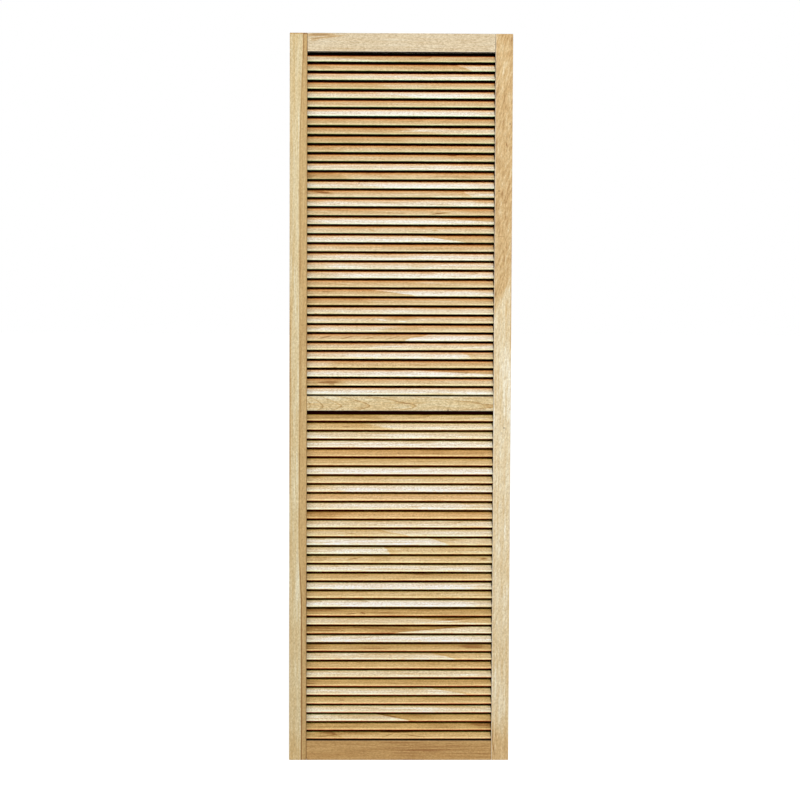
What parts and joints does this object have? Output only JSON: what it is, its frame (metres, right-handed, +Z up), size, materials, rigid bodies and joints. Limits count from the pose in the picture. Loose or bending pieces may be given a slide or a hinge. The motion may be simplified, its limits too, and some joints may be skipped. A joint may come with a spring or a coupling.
{
  "type": "louvred closet door",
  "caption": "Tall narrow louvred timber closet door: two stiles, three rails and two banks of fixed slanted slats, bare sanded wood.",
  "frame": {"origin": "middle of the leaf's lower edge, midway between its two faces", "axes": "+Z up along the leaf's height, +X across its width to the right as seen from the front, +Y through its thickness towards the back; the front face looks along -Y"},
  "size_m": [0.62, 0.035, 2.04],
  "materials": {
    "stile_wood": "bare, planed and sanded, matte",
    "rail_wood": "bare, planed and sanded, matte",
    "slat_wood": "bare, planed and sanded, matte"
  },
  "bodies": {
    "root": {"left_stile": "stile_wood", "right_stile": "stile_wood", "top_rail": "rail_wood", "mid_rail": "rail_wood", "bottom_rail": "rail_wood", "upper_slat_01": "slat_wood", "upper_slat_02": "slat_wood", "upper_slat_03": "slat_wood", "upper_slat_05": "slat_wood", "upper_slat_06": "slat_wood", "upper_slat_07": "slat_wood", "upper_slat_09": "slat_wood", "upper_slat_10": "slat_wood", "upper_slat_11": "slat_wood", "upper_slat_13": "slat_wood", "upper_slat_14": "slat_wood", "upper_slat_16": "slat_wood", "upper_slat_17": "slat_wood", "upper_slat_18": "slat_wood", "upper_slat_20": "slat_wood", "upper_slat_21": "slat_wood", "upper_slat_22": "slat_wood", "upper_slat_24": "slat_wood", "upper_slat_25": "slat_wood", "upper_slat_26": "slat_wood", "upper_slat_28": "slat_wood", "upper_slat_29": "slat_wood", "upper_slat_31": "slat_wood", "upper_slat_32": "slat_wood", "upper_slat_33": "slat_wood", "upper_slat_35": "slat_wood", "upper_slat_36": "slat_wood", "upper_slat_37": "slat_wood", "lower_slat_01": "slat_wood", "lower_slat_02": "slat_wood", "lower_slat_03": "slat_wood", "lower_slat_05": "slat_wood", "lower_slat_06": "slat_wood", "lower_slat_08": "slat_wood", "lower_slat_09": "slat_wood", "lower_slat_10": "slat_wood", "lower_slat_12": "slat_wood", "lower_slat_13": "slat_wood", "lower_slat_14": "slat_wood", "lower_slat_16": "slat_wood", "lower_slat_17": "slat_wood", "lower_slat_18": "slat_wood", "lower_slat_20": "slat_wood", "lower_slat_21": "slat_wood", "lower_slat_23": "slat_wood", "lower_slat_24": "slat_wood", "lower_slat_25": "slat_wood", "lower_slat_27": "slat_wood", "lower_slat_28": "slat_wood", "lower_slat_29": "slat_wood", "lower_slat_31": "slat_wood", "lower_slat_32": "slat_wood", "lower_slat_33": "slat_wood", "lower_slat_35": "slat_wood", "lower_slat_36": "slat_wood"}
  },
  "joints": []
}
